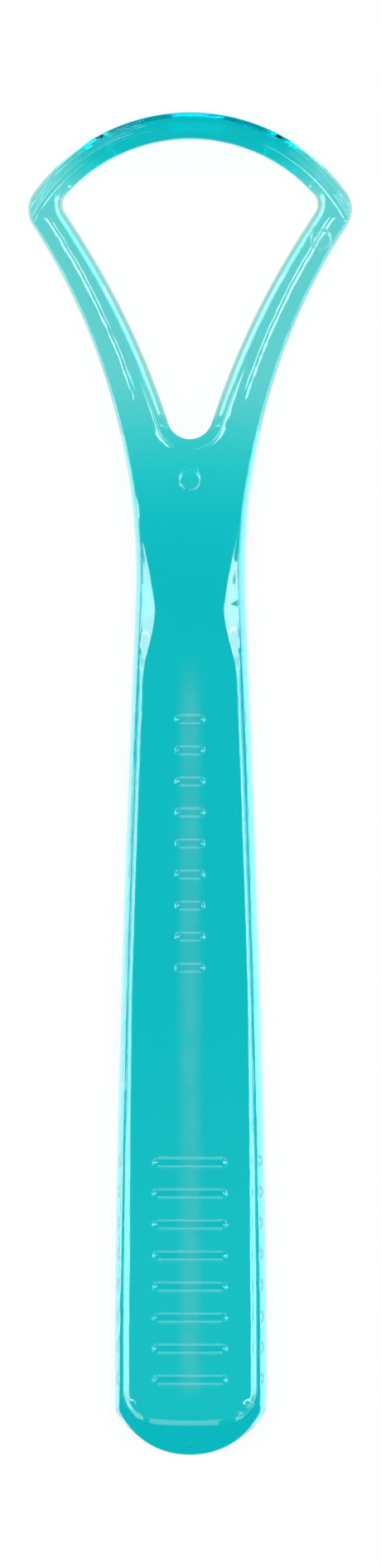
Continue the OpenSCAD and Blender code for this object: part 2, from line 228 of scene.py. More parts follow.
BLADE_LINE_INSETS = (
    0.15, 0.35, 0.55, BLADE_TIP_INSET, BLADE_TIP_INSET + BLADE_TIP_W,
    1.3, 1.6, BOW_SLOPE_W - 0.07, BOW_SLOPE_W, BOW_SLOPE_W + 0.07, BLADE_ROOT_W,
)

# The floor, the camera and where the photograph has the object, in its pixels
FLOOR_SIZE = 3
FLOOR_LEVEL = -0.00004
PAPER_COLOUR = (0.9, 0.9, 0.9, 1)
GLOW_SHARE = 0.88
LENS = 300
SENSOR_W = 36
PHOTO_W = 460
PHOTO_H = 1893
PHOTO_MIDDLE = (229.5, 946.5)
OBJECT_ROWS = 1621


def corner(node, end, axis):
    """A coordinate of a CAD node's box, in millimetres."""
    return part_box(node)[end]["xyz".index(axis)] / MM


END_Y = corner("handle_plate", 0, "y")
TOP_Y = corner("bow", 1, "y")
PLATE_T = corner("end_land", 0, "z")
RAIL_TOP = corner("end_land", 1, "z")
HEAD_TOP = corner("right_arm", 1, "z") - RELIEF_ROOM
HEAD_Z = HEAD_TOP - ARM_T
WAIST_Y = END_Y + WAIST_RISE


def unit(angle):
    """A direction in the plane, from its angle in degrees."""
    return np.array([math.cos(math.radians(angle)), math.sin(math.radians(angle))])


def arc(centre, radius, start, end, count=60):
    """Points along a round, from one angle to another in degrees."""
    return [centre + radius * unit(a) for a in np.linspace(start, end, count)]


def meeting(c0, r0, c1, r1):
    """The crossing of two circles that lies furthest from the waist."""
    apart = np.linalg.norm(c1 - c0)
    along = (apart**2 + r0**2 - r1**2) / (2 * apart)
    across = math.sqrt(r0**2 - along**2)
    u = (c1 - c0) / apart
    return c0 + along * u + across * np.array([-u[1], u[0]])


def angle_of(v):
    return math.degrees(math.atan2(v[1], v[0]))


def clamp(t):
    return np.clip(t, 0.0, 1.0)


def ease(t):
    return clamp(t) ** 2 * (3 - 2 * clamp(t))


def mix(a, b, t):
    return a + (b - a) * t


def soft_ramp(t, blend):
    """0 up to t = 0 and 1 from t = 1, with both corners rounded over a share of the ramp."""
    def softened(u):
        inside = np.clip(u + blend, 0, 2 * blend)
        return np.where(u < blend, inside**2 / (4 * blend), u)
    return softened(t) - softened(t - 1)


# Circles that shape the head and the end of the handle
BOW_C = np.array([0, TOP_Y - BOW_R])
BOW_INNER_R = BOW_R - BOW_BAND
ARM_C = np.array([WAIST_W / 2 + ARM_CURVE_R, WAIST_Y])
CORNER_C = meeting(BOW_C, BOW_R - CORNER_R, ARM_C, ARM_CURVE_R + CORNER_R)
INNER_C = meeting(BOW_C, BOW_INNER_R - INNER_CORNER_R, ARM_C, ARM_CURVE_R + ARM_TIP_W + INNER_CORNER_R)
OUTER_ARM_ANGLE = math.degrees(math.atan2(CORNER_C[1] - ARM_C[1], ARM_C[0] - CORNER_C[0]))
INNER_ARM_ANGLE = math.degrees(math.atan2(INNER_C[1] - ARM_C[1], ARM_C[0] - INNER_C[0]))
END_R = HANDLE_W / 2 + END_BULGE
END_CORNER_X = HANDLE_W / 2 - END_CORNER_R
END_CORNER_DROP = math.sqrt((END_R - END_CORNER_R) ** 2 - END_CORNER_X**2)
END_C = np.array([0, END_Y + END_R])
END_CORNER_C = np.array([END_CORNER_X, END_C[1] - END_CORNER_DROP])
END_CORNER_ANGLE = math.degrees(math.atan2(END_CORNER_DROP, END_CORNER_X))
CHANNEL_END_Y = END_Y + LAND_LENGTH + CHANNEL_END_R


def half_w(y):
    """Half the width of the handle and the neck."""
    y = np.asarray(y, float)
    above = ARM_C[0] - np.sqrt(ARM_CURVE_R**2 - np.clip(y - WAIST_Y, 0, ARM_CURVE_R) ** 2)
    down = np.hypot(np.maximum(WAIST_Y - y, 0), WAIST_ROUND) - WAIST_ROUND
    below = mix(WAIST_W, HANDLE_W, 1 - (1 - clamp(down / TAPER_LENGTH)) ** TAPER_POWER) / 2
    return np.where(y > WAIST_Y, above, below)


def arm_w(angle):
    left = 1 - clamp((angle - ARM_ROOT_ANGLE) / (INNER_ARM_ANGLE - ARM_ROOT_ANGLE))
    return mix(ARM_TIP_W, ARM_ROOT_W, left**ARM_POWER)


def inner_arm_point(angle):
    a = math.radians(angle)
    return ARM_C + (ARM_CURVE_R + arm_w(angle)) * np.array([-math.cos(a), math.sin(a)])


def outer_curve():
    """The outline's right half, from the end of the handle to the top of the bow."""
    flank = [
        ARM_C + ARM_CURVE_R * np.array([-math.cos(a), math.sin(a)])
        for a in np.radians(np.linspace(0, OUTER_ARM_ANGLE, 200))
    ]
    side = [np.array([float(half_w(y)), y]) for y in np.linspace(END_CORNER_C[1], WAIST_Y, 400)]
    return join(
        arc(END_C, END_R, -90, -END_CORNER_ANGLE),
        arc(END_CORNER_C, END_CORNER_R, -END_CORNER_ANGLE, 0),
        side,
        flank,
        arc(CORNER_C, CORNER_R, -OUTER_ARM_ANGLE, angle_of(CORNER_C - BOW_C)),
        arc(BOW_C, BOW_R, angle_of(CORNER_C - BOW_C), 90, 200),
    )


def inner_curve():
    """The opening's right half, from the bottom of the V to the bow."""
    root = inner_arm_point(ARM_ROOT_ANGLE)
    ahead = inner_arm_point(ARM_ROOT_ANGLE + 1) - root
    lean = math.degrees(math.atan2(ahead[0], ahead[1]))
    crotch_r = root[0] / math.cos(math.radians(lean))
    crotch_c = np.array([0, root[1] + crotch_r * math.sin(math.radians(lean))])
    return join(
        arc(crotch_c, crotch_r, -90, -lean),
        [inner_arm_point(a) for a in np.linspace(ARM_ROOT_ANGLE, INNER_ARM_ANGLE, 200)],
        arc(INNER_C, INNER_CORNER_R, -INNER_ARM_ANGLE, angle_of(INNER_C - BOW_C)),
        arc(BOW_C, BOW_INNER_R, angle_of(INNER_C - BOW_C), 90, 200),
    )


def join(*runs):
    """Runs of points as one array, without the repeated points where they meet."""
    points = np.array([p for run in runs for p in run])
    keep = np.concatenate([[True], np.linalg.norm(np.diff(points, axis=0), axis=1) > 1e-6])
    return points[keep]


def resampled(points, step):
    """The same curve with evenly spaced points."""
    length = np.concatenate([[0], np.cumsum(np.linalg.norm(np.diff(points, axis=0), axis=1))])
    even = np.linspace(0, length[-1], int(round(length[-1] / step)) + 1)
    return np.column_stack([np.interp(even, length, points[:, k]) for k in (0, 1)])


def left_normals(points):
    """Unit normals on the left of a curve whose ends cross the middle line squarely."""
    along = np.gradient(points, axis=0)
    along[0] = [np.sign(along[0][0]), 0]
    along[-1] = [np.sign(along[-1][0]), 0]
    along /= np.linalg.norm(along, axis=1)[:, None]
    return np.column_stack([-along[:, 1], along[:, 0]])


def distance_to(points, curve):
    """How far each point lies from a curve, and how far along it the nearest place is, from 0 to 1."""
    a, b = curve[:-1], curve[1:]
    run = b - a
    lengths = np.linalg.norm(run, axis=1)
    starts = np.concatenate([[0], np.cumsum(lengths)])
    best = np.full(len(points), np.inf)
    place = np.zeros(len(points))
    for i in range(len(a)):
        t = clamp(((points - a[i]) @ run[i]) / lengths[i] ** 2)
        gap = np.linalg.norm(points - (a[i] + t[:, None] * run[i]), axis=1)
        closer = gap < best
        best[closer] = gap[closer]
        place[closer] = (starts[i] + t[closer] * lengths[i]) / starts[-1]
    return best, place


OUTER = resampled(outer_curve(), EDGE_STEP)
INNER = resampled(inner_curve(), EDGE_STEP)


def underside_z(y):
    share = ease((y - WAIST_Y + UNDERSIDE_START) / (UNDERSIDE_END + UNDERSIDE_START))
    return HEAD_Z * share**UNDERSIDE_POWER


def neck_share(y):
    return ease((y - WAIST_Y + FLOOR_START) / (FLOOR_END + FLOOR_START))


def floor_z(y):
    return mix(PLATE_T + FLOOR_RISE * raised(y), HEAD_TOP, neck_share(y))


def crest_z(y):
    return mix(RAIL_TOP, HEAD_TOP, neck_share(y))


def rail_fading(y):
    return ease((y - WAIST_Y + RAIL_FULL_DROP) / (RAIL_FULL_DROP - FACET_DROP))


def rail_share(y):
    return mix(1, RAIL_FADE_SHARE, rail_fading(y))


def steep_drop(y):
    """How far the channel's side falls steeply before its even slope."""
    even = mix(*EVEN_DEPTHS, raised(y))
    return np.maximum(crest_z(y) - floor_z(y) - even, 0) * (1 - rail_fading(y))


def slope_w(y):
    """Width of the even slope of the channel's side."""
    depth = crest_z(y) - floor_z(y) - steep_drop(y)
    below = mix(EVEN_RUN * depth, FACET_W, rail_fading(y))
    above = FACET_W * mix(1, RUN_OUT_SHARE, (y - WAIST_Y + FACET_DROP) / (RAIL_RUN_OUT + FACET_DROP))
    return np.maximum(np.where(y < WAIST_Y - FACET_DROP, below, above), RUN_OUT_SHARE * FACET_W)


def raised(y):
    """How much of its rise the channel's floor has made along the handle."""
    return clamp((y - WAIST_Y + FLOOR_RISE_END) / FLOOR_RISE_LENGTH + 1)


def rail_flat(y):
    extra = mix(*FLAT_EXTRA_WS, raised(y)) * (1 - rail_fading(y))
    return (RAIL_EDGE + RAIL_TOP_W) * rail_share(y) + extra


def channel_drop(x, y, outer_gap):
    """How far the channel has fallen below the rails."""
    low = y < WAIST_Y - FLOOR_RISE_END
    from_side = np.where(low, half_w(y) - np.abs(x), outer_gap) - rail_flat(y)
    from_end = np.where(low, CHANNEL_END_R - np.hypot(x, y - CHANNEL_END_Y), CHANNEL_END_R)
    gap = CHANNEL_CORNER_R - np.hypot(
        np.maximum(CHANNEL_CORNER_R - from_side, 0), np.maximum(CHANNEL_CORNER_R - from_end, 0)
    )
    steep_h = steep_drop(y)
    steep_w = STEEP_RUN * steep_h
    even_h = crest_z(y) - floor_z(y) - steep_h
    steep = steep_h * soft_ramp(gap / np.maximum(steep_w, STEP_W), RAMP_BLEND)
    return steep + even_h * soft_ramp((gap - steep_w) / slope_w(y), RAMP_BLEND)


def edge_drop(gap, radius):
    """How far a rounded edge falls at a distance from the edge."""
    return radius - np.sqrt(np.maximum(radius**2 - np.clip(radius - gap, 0, radius) ** 2, 0))


def lip_share(place):
    """How much of the lip there is along the opening's edge."""
    length = place * np.linalg.norm(np.diff(INNER, axis=0), axis=1).sum()
    corner_y = INNER_C[1]
    corner_place = distance_to(np.array([[INNER_C[0] + INNER_CORNER_R, corner_y]]), INNER)[1][0]
    end = corner_place * np.linalg.norm(np.diff(INNER, axis=0), axis=1).sum()
    start, start_l = LIP_START
    past, end_l = LIP_END
    return ease((length - start) / start_l) * ease((end + past - length) / end_l)


def rib_places():
    """The middle of each rib along the handle, its length and its height."""
    thumb_ys = [WAIST_Y - THUMB_RIB_DROP - i * RIB_PITCH for i in range(THUMB_RIBS)]
    grip_ys = [END_Y + GRIP_RIB_RISE + i * RIB_PITCH for i in range(GRIP_RIBS)]
    return [(y, THUMB_RIB_L, THUMB_RIB_H) for y in thumb_ys] + [(y, GRIP_RIB_L, GRIP_RIB_H) for y in grip_ys]


def rib_rise(x, y):
    """How far the ribs stand above the floor of the channel."""
    rise = np.zeros(len(x))
    for middle, length, height in rib_places():
        out = np.hypot(np.maximum(np.abs(x) - (length / 2 - RIB_R), 0), y - middle)
        rise = np.maximum(rise, height - RIB_R + np.sqrt(np.maximum(RIB_R**2 - out**2, 0)))
    return rise


def mark_places():
    """The middles of the marks that the ejector pins left."""
    arm_y = TOP_Y - ARM_MARK_DROP
    return [(0, WAIST_Y + YOKE_MARK_RISE), (float(half_w(arm_y)) - ARM_TIP_W / 2, arm_y)]


def mark_depth(x, y):
    """How deep the pin marks are sunk."""
    depth = np.zeros(len(x))
    for mx, my in mark_places():
        out = np.hypot(x - mx, y - my)
        depth = np.maximum(depth, PIN_MARK_DEPTH * ease((PIN_MARK_R - out) / MARK_WALL_W + 0.5))
    return depth


def in_marks(points):
    """1 for the points well inside a pin mark, and 0 for the others."""
    out = [np.hypot(np.abs(points[:, 0]) - mx, points[:, 1] - my) for mx, my in mark_places()]
    return np.where(np.min(out, axis=0) < PIN_MARK_R - MARK_WALL_W, 1, 0)


def on_tip(points):
    """1 for the points on the blade's tip, and 0 for the others."""
    inset = BOW_R - np.hypot(points[:, 0] - BOW_C[0], points[:, 1] - BOW_C[1])
    near = np.abs(inset - BLADE_TIP_INSET - BLADE_TIP_W / 2) < BLADE_TIP_W
    return np.where(near & (bow_angle(points[:, 0], points[:, 1]) > BLADE_FULL_ANGLE), 1, 0)


def in_frost(points):
    """1 for the points in the frosted line along the bow, and 0 for the others."""
    inset = BOW_R - np.hypot(points[:, 0] - BOW_C[0], points[:, 1] - BOW_C[1])
    near = np.abs(inset - FROST_INSET) < FROST_W / 2
    return np.where(near & (bow_angle(points[:, 0], points[:, 1]) > BLADE_FALL_ANGLE), 1, 0)


def bow_slope_drop(x, y):
    """How far the slope along the outer edge of the bow has fallen."""
    away = np.hypot(x - BOW_C[0], y - BOW_C[1])
    fallen = soft_ramp((away - BOW_R + BOW_SLOPE_W) / BOW_SLOPE_W, BOW_SLOPE_BLEND)
    return np.where(y > BOW_C[1], BOW_SLOPE_H * fallen, 0)


def sinking(angle):
    """How much of its full depth the web has at an angle along the bow."""
    return ease((angle - BLADE_FALL_ANGLE) / (BLADE_FULL_ANGLE - BLADE_FALL_ANGLE))


def web_z(angle):
    return HEAD_Z - BOW_DEEPENING * sinking(angle)


def blade_depth(angle):
    """How far the blade's tip stands below the web."""
    depth = mix(BLADE_END_DEPTH, HEAD_Z - BOW_DEEPENING, sinking(angle))
    return depth * ease((angle - BLADE_START_ANGLE) / FADE_ANGLE)


def bow_angle(x, y):
    return np.degrees(np.arctan2(y - BOW_C[1], np.abs(x)))


def bump(offset, width):
    """A smooth bump from 0 to 1 and back, centred where the offset is 0."""
    return np.where(np.abs(offset) < width / 2, np.cos(math.pi * offset / width) ** 2, 0)


def between(y, start, end):
    """1 between two places, with a fade inside each of them: (place, length of its fade)."""
    return ease((y - start[0]) / start[1]) * ease((end[0] - y) / end[1])


def wave(t, *lengths):
    """An uneven swing between about -1 and 1."""
    return sum(np.sin(2 * math.pi * t / length + 2 * k) for k, length in enumerate(lengths)) / len(lengths)


def draft_w(x, y):
    """How far the outer wall leans in between its foot and its top."""
    low, high = HANDLE_DRAFT_YS
    angle = mix(HANDLE_DRAFT_ANGLE, DRAFT_ANGLE, ease((y - low) / (high - low)))
    angle = mix(LAND_DRAFT_ANGLE, angle, ease((y - END_Y) / LAND_DRAFT_L))
    lean = np.tan(np.radians(angle)) * (crest_z(y) - underside_z(y))
    left_at_bow = 1 - ease((bow_angle(x, y) - DRAFT_END_ANGLE) / FADE_ANGLE)
    return np.where(y > BOW_C[1], lean * left_at_bow, lean) + LEAST_WALL_W


def ridge_rise(x, y):
    """The fine uneven ridge along the middle of each arm."""
    out = np.hypot(np.abs(x) - ARM_C[0], y - ARM_C[1])
    angle = np.degrees(np.arctan2(y - ARM_C[1], ARM_C[0] - np.abs(x)))
    offset = out - ARM_CURVE_R - arm_w(angle) / 2 + RIDGE_SWAY * wave(y + x / 3, *RIDGE_SWAY_WAVES)
    height = RIDGE_H * (RIDGE_H_SHARES[0] + RIDGE_H_SHARES[1] * wave(y + x, *RIDGE_H_WAVES))
    return between(y, RIDGE_START, RIDGE_END) * height * bump(offset, RIDGE_W)


def bow_relief(x, y):
    """Grooves along the slope of the bow near its ends, and the fine line at the slope's top."""
    inset = BOW_R - np.hypot(x - BOW_C[0], y - BOW_C[1])
    angle = bow_angle(x, y)
    ends = 1 - ease((angle - BOW_GROOVE_END[0]) / BOW_GROOVE_END[1])
    grooves = sum(bump(inset - g, BOW_GROOVE_W) for g in BOW_GROOVES)
    root = bump(inset - BOW_SLOPE_W, ROOT_LINE_W) * mix(0.5, 1, ends)
    relief = ROOT_LINE_H * root - BOW_GROOVE_H * ends * grooves
    return np.where((y > BOW_C[1]) & (angle > BLADE_START_ANGLE), relief, 0)


def swell(x, y):
    """The slight unevenness of a moulded face."""
    return SWELL_H * (wave(x + 0.4 * y, *SWELL_WAVES_ACROSS) + wave(y - 0.5 * x, *SWELL_WAVES_ALONG))


def top_z(points, outer_gap, inner_gap, inner_place):
    """The moulding's upper side: its face, and the wall that leans in from the outline."""
    x, y = points[:, 0], points[:, 1]
    face = face_z(x, y, outer_gap, inner_gap, inner_place)
    foot = np.minimum(underside_z(y), web_z(np.where(y > BOW_C[1], bow_angle(x, y), 0))) + UNDER_EDGE_R
    width = draft_w(x, y)
    wall = mix(foot + LEAST_WALL_W, face - TOP_EDGE_R, clamp(outer_gap / width))
    return np.where(outer_gap < width, wall, face - edge_drop(outer_gap - width, TOP_EDGE_R))


def face_z(x, y, outer_gap, inner_gap, inner_place):
    z = crest_z(y) - channel_drop(x, y, outer_gap)
    lip = lip_share(inner_place)
    slope_fall = LIP_SLOPE_H * (1 - soft_ramp((inner_gap - LIP_W) / LIP_SLOPE_W, RAMP_BLEND))
    step_fall = (HEAD_TOP - HEAD_Z - LIP_T - LIP_SLOPE_H) * ease((LIP_W - inner_gap) / STEP_W + 0.5)
    lip_wall = (LIP_T - UNDER_EDGE_R - LEAST_WALL_W) * (1 - clamp(inner_gap / LIP_DRAFT_W))
    z = z - lip * (slope_fall + step_fall + lip_wall)
    z = z - (1 - lip) * edge_drop(inner_gap, TOP_EDGE_R)
    gate = np.hypot(x, y - END_Y - GATE_INSET)
    z = z + rib_rise(x, y) + GATE_H * ease((GATE_R - gate) / STEP_W + 0.5)
    crease = CREASE_H * between(y, CREASE_START, CREASE_END)
    z = z + ridge_rise(x, y) + crease * bump(inner_gap - CREASE_GAP, CREASE_W)
    return z + bow_relief(x, y) + swell(x, y) * ease(outer_gap) - mark_depth(x, y) - bow_slope_drop(x, y)


def under_z(points, outer_gap, inner_gap):
    x, y = points[:, 0], points[:, 1]
    away = np.hypot(x - BOW_C[0], y - BOW_C[1])
    angle = bow_angle(x, y)
    web = np.minimum(underside_z(y), web_z(angle))
    z = web + edge_drop(outer_gap, UNDER_EDGE_R) + edge_drop(inner_gap, UNDER_EDGE_R)
    inset = BOW_R - away
    outside = 1 - inset / BLADE_TIP_INSET
    inside = (inset - BLADE_TIP_INSET - BLADE_TIP_W) / (BLADE_ROOT_W - BLADE_TIP_INSET - BLADE_TIP_W)
    blade = web - blade_depth(angle) * (1 - clamp(np.maximum(outside, inside)))
    return np.where(angle > BLADE_START_ANGLE, np.minimum(z, blade), z)


def side_gaps(y):
    """Distances inward from the top of the channel's side at which its mesh has a line."""
    steep_w = STEEP_RUN * steep_drop(y)
    gaps = [steep_w + share * slope_w(y) for share in RAMP_SHARES]
    gaps.append(steep_w + slope_w(y) * (1 + RAMP_BLEND) + RAMP_MARGIN)
    gaps.append(-slope_w(y) * RAMP_BLEND - RAMP_MARGIN / 2)
    return gaps


def steep_gaps(y):
    """The same on the steep part of the channel's side."""
    return [share * STEEP_RUN * steep_drop(y) for share in STEEP_SHARES]


def rail_lines():
    """Lines along the sides of the channel."""
    corner_y = channel_corner()[1]
    ys = np.arange(corner_y, WAIST_Y + RAIL_RUN_OUT, EDGE_STEP)
    low_ys = np.arange(corner_y, WAIST_Y - FLOOR_RISE_END - STEEP_LINES_DROP, EDGE_STEP)
    lines = [np.column_stack([half_w(ys) - rail_flat(ys) - gap, ys]) for gap in side_gaps(ys)]
    low_starts = half_w(low_ys) - rail_flat(low_ys)
    return lines + [np.column_stack([low_starts - gap, low_ys]) for gap in steep_gaps(low_ys)]


def channel_corner():
    """The middle of the round in the corner between the channel's side and its end."""
    near_y = END_Y + LAND_LENGTH + CHANNEL_CORNER_R
    x = float(half_w(near_y) - rail_flat(near_y)) - CHANNEL_CORNER_R
    return np.array([x, CHANNEL_END_Y - math.sqrt((CHANNEL_END_R - CHANNEL_CORNER_R) ** 2 - x**2)])


def channel_end_lines():
    """Lines along the end of the channel, and round its corner."""
    corner_c = channel_corner()
    end_c = np.array([0, CHANNEL_END_Y])
    turn = angle_of(corner_c - end_c)
    lines = []
    for gap in side_gaps(corner_c[1]) + steep_gaps(corner_c[1]):
        across = arc(end_c, CHANNEL_END_R - float(gap), -90, turn, 24)
        lines.append(join(across, arc(corner_c, CHANNEL_CORNER_R - float(gap), turn, 0, 24)))
    return lines


def blade_lines():
    """Lines along the blade's tip and root."""
    lines = []
    for inset in BLADE_LINE_INSETS:
        r = BOW_R - inset
        count = int(math.radians(90 - BLADE_START_ANGLE) * r / EDGE_STEP)
        lines.append(np.array(arc(BOW_C, r, 90, BLADE_START_ANGLE, count)))
    return lines


def relief_lines():
    """Lines along the ridge of each arm, the crease round the V and the grooves of the bow."""
    lines = []
    angles = np.arange(ARM_ROOT_ANGLE + 1, OUTER_ARM_ANGLE, RIDGE_ANGLE_STEP)
    for share in np.linspace(*RIDGE_SHARES):
        lines.append(np.array([
            inner_arm_point(a) + (share * RIDGE_W - arm_w(a) / 2) * (inner_arm_point(a) - ARM_C)
            / np.linalg.norm(inner_arm_point(a) - ARM_C) for a in angles
        ]))
    around_v = INNER[:, 1] < CREASE_END[0]
    for share in CREASE_SHARES:
        gap = CREASE_GAP + share * CREASE_W
        lines.append((INNER - gap * left_normals(INNER))[around_v])
    for inset in BOW_GROOVES:
        for share in GROOVE_SHARES:
            r = BOW_R - inset - share * BOW_GROOVE_W
            lines.append(np.array(arc(BOW_C, r, sum(BOW_GROOVE_END), BLADE_START_ANGLE, 64)))
    return lines


def rib_lines():
    """Loops round the right half of each rib."""
    lines = []
    for middle, length, height in rib_places():
        foot = math.sqrt(RIB_R**2 - (RIB_R - height) ** 2)
        end = np.array([length / 2 - RIB_R, middle])
        for share in RIB_SHARES:
            r = foot * share
            straight = [np.array([x, middle - r]) for x in np.arange(0, end[0], EDGE_STEP)]
            back = [np.array([p[0], middle + r]) for p in straight[::-1]]
            lines.append(np.array(straight + arc(end, r, -90, 90, 12) + back))
    return lines


def round_lines():
    """Circles round the pin marks and the gate mark."""
    rounds = [(place, PIN_MARK_R, MARK_WALL_W) for place in mark_places()]
    rounds.append(((0, END_Y + GATE_INSET), GATE_R, STEP_W))
    lines = []
    for place, r, wall_w in rounds:
        start, end = (-90, 90) if place[0] == 0 else (0, 360)
        for share in STEP_SHARES:
            lines.append(np.array(arc(np.array(place), r + share * wall_w, start, end, 40)))
    for place in mark_places():
        start, end = (-90, 90) if place[0] == 0 else (0, 360)
        for share in np.arange(*MARK_SHARES):
            lines.append(np.array(arc(np.array(place), share * PIN_MARK_R, start, end, int(8 + 30 * share))))
    return lines


def inside_half(points):
    """True for the points in the moulding's right half."""
    loop = np.vstack([OUTER, INNER[::-1]])
    x, y = points[:, 0], points[:, 1]
    inside = np.zeros(len(points), bool)
    ahead = np.roll(loop, -1, axis=0)
    for (x0, y0), (x1, y1) in zip(loop, ahead):
        if y0 == y1:
            continue
        crosses = ((y0 > y) != (y1 > y)) & (x < (x1 - x0) * (y - y0) / (y1 - y0) + x0)
        inside ^= crosses
    return inside & (x > 0)


class Plan:
    """Points and lines of the moulding's right half, seen from above."""

    def __init__(self):
        self.points = []
        self.edges = []

    def line(self, points):
        start = len(self.points)
        self.points += [tuple(p) for p in points]
        self.edges += [(start + i, start + i + 1) for i in range(len(points) - 1)]

    def fill(self, step, clearance):
        """Evenly spaced points where no line runs."""
        taken = {}
        for p in self.points:
            taken.setdefault((int(p[0] // clearance), int(p[1] // clearance)), []).append(p)
        rows = np.arange(END_Y, TOP_Y, step * math.sqrt(3) / 2)
        xs = np.arange(step, FILL_REACH, step)
        grid = np.array([(x + (k % 2) * step / 2, y) for k, y in enumerate(rows) for x in xs])
        grid = grid[inside_half(grid)]
        for p in grid:
            i, j = int(p[0] // clearance), int(p[1] // clearance)
            near = [q for u in (-1, 0, 1) for v in (-1, 0, 1) for q in taken.get((i + u, j + v), [])]
            if all(math.hypot(p[0] - q[0], p[1] - q[1]) > clearance for q in near):
                self.points.append(tuple(p))


def plan_of_half():
    plan = Plan()
    plan.line(OUTER)
    plan.line(INNER)
    middle = np.arange(END_Y, INNER[0][1], EDGE_STEP)
    plan.line([OUTER[0], *[(0, y) for y in middle[1:]], INNER[0]])
    bow_middle = np.arange(INNER[-1][1] + EDGE_STEP, TOP_Y, EDGE_STEP)
    plan.line([INNER[-1], *[(0, y) for y in bow_middle], OUTER[-1]])
    rounded = [1 - math.cos(a) for a in np.linspace(0, math.pi / 2, 6)[1:]]
    outer_in = left_normals(OUTER)
    lean = draft_w(OUTER[:, 0], OUTER[:, 1])[:, None]
    for share in WALL_SHARES:
        plan.line(OUTER + lean * share * outer_in)
    for share in rounded:
        plan.line(OUTER + (lean + TOP_EDGE_R * share) * outer_in)
    for share in UNDER_EDGE_SHARES:
        plan.line(OUTER + UNDER_EDGE_R * share * outer_in)
    inner_out = -left_normals(INNER)
    gaps = [TOP_EDGE_R * share for share in rounded]
    gaps += [LIP_DRAFT_W, LIP_DRAFT_W + LIP_WALL_MARGIN, UNDER_EDGE_R * UNDER_EDGE_SHARES[0]]
    gaps += [LIP_W + STEP_W * share for share in STEP_SHARES]
    gaps += [LIP_W + LIP_SLOPE_W * share for share in LIP_SLOPE_SHARES]
    gaps.append(gaps[-1] + RAMP_MARGIN)
    for gap in gaps:
        plan.line(INNER + gap * inner_out)
    channel_lines = rail_lines() + channel_end_lines()
    for line in channel_lines + blade_lines() + relief_lines() + rib_lines() + round_lines():
        inner_enough = line[inside_half(line + np.array([1e-4, 0]))]
        if len(inner_enough) > 1:
            plan.line(inner_enough)
    plan.fill(FILL_STEP, CLEARANCE)
    return plan


def half_mesh():
    """Corners and triangles of the moulding's right half, as seen from above."""
    plan = plan_of_half()
    out = delaunay_2d_cdt([Vector(p) for p in plan.points], plan.edges, [], 0, 1e-5)
    points = np.array([tuple(v) for v in out[0]])
    points[np.abs(points[:, 0]) < 1e-5, 0] = 0
    triangles = np.array([tuple(t) for t in out[2]])
    triangles = triangles[inside_half(points[triangles].mean(axis=1))]
    return points, triangles


def edge_loop(triangles):
    """The edges that only one triangle has, as pairs in the triangle's order."""
    pairs = np.vstack([triangles[:, [0, 1]], triangles[:, [1, 2]], triangles[:, [2, 0]]])
    seen = {tuple(p) for p in pairs.tolist()}
    return [p for p in seen if (p[1], p[0]) not in seen]


def moulding():
    """The whole moulding as one closed mesh: a top and an underside joined by the wall round each edge."""
    points, triangles = half_mesh()
    used = np.unique(triangles)
    renumber = np.full(len(points), -1)
    renumber[used] = np.arange(len(used))
    points, triangles = points[used], renumber[triangles]
    on_middle = points[:, 0] == 0
    twins = np.where(on_middle, np.arange(len(points)), 0)
    twins[~on_middle] = len(points) + np.arange((~on_middle).sum())
    whole = np.vstack([points, points[~on_middle] * [-1, 1]])
    faces = np.vstack([triangles, twins[triangles][:, ::-1]])

    outer_gap, _ = distance_to(points, OUTER)
    inner_gap, inner_place = distance_to(points, INNER)
    outer_gap, inner_gap, inner_place = (
        np.concatenate([values, values[~on_middle]]) for values in (outer_gap, inner_gap, inner_place)
    )
    high = top_z(whole, outer_gap, inner_gap, inner_place)
    low = under_z(whole, outer_gap, inner_gap)
    chance = np.random.default_rng(CHANCE_SEED)
    high += MARK_ROUGHNESS * in_marks(whole) * chance.uniform(-1, 1, len(whole))
    high += FROST_H * in_frost(whole) * chance.uniform(-1, 1, len(whole))
    low += TIP_ROUGHNESS * on_tip(whole) * chance.uniform(0, 1, len(whole))

    count = len(whole)
    corners = np.vstack([np.column_stack([whole, high]), np.column_stack([whole, low])])
    walls = []
    for a, b in edge_loop(faces):
        walls.append((b, a, a + count, b + count))
    polygons = faces.tolist() + (faces[:, ::-1] + count).tolist() + walls
    mesh = bpy.data.meshes.new("scraper_moulding")
    mesh.from_pydata((corners * MM).tolist(), [], polygons)
    mesh.validate()
    mesh.update()
    for polygon in mesh.polygons:
        polygon.use_smooth = True
    mesh.set_sharp_from_angle(angle=math.radians(SHARP_ANGLE))
    piece = bpy.data.objects.new("scraper_moulding", mesh)
    bpy.context.collection.objects.link(piece)
    return piece


def node(tree, kind, **inputs):
    made = tree.nodes.new(kind)
    for name, value in inputs.items():
        made.inputs[name.replace("_", " ")].default_value = value
    return made


def ramp(tree, source, start, end, low, high):
    """A smooth step of a value, from low at start to high at end."""
    step = tree.nodes.new("ShaderNodeMapRange")
    step.interpolation_type = "SMOOTHSTEP"
    step.inputs["From Min"].default_value = start
    step.inputs["From Max"].default_value = end
    step.inputs["To Min"].default_value = low
    step.inputs["To Max"].default_value = high
    tree.links.new(source, step.inputs["Value"])
    return step.outputs["Result"]


def combined(tree, operation, first, second):
    """One Math node on two values, each a socket or a number."""
    math_node = tree.nodes.new("ShaderNodeMath")
    math_node.operation = operation
    for socket, value in zip(math_node.inputs, (first, second)):
        if isinstance(value, float):
            socket.default_value = value
        else:
            tree.links.new(value, socket)
    return math_node.outputs[0]


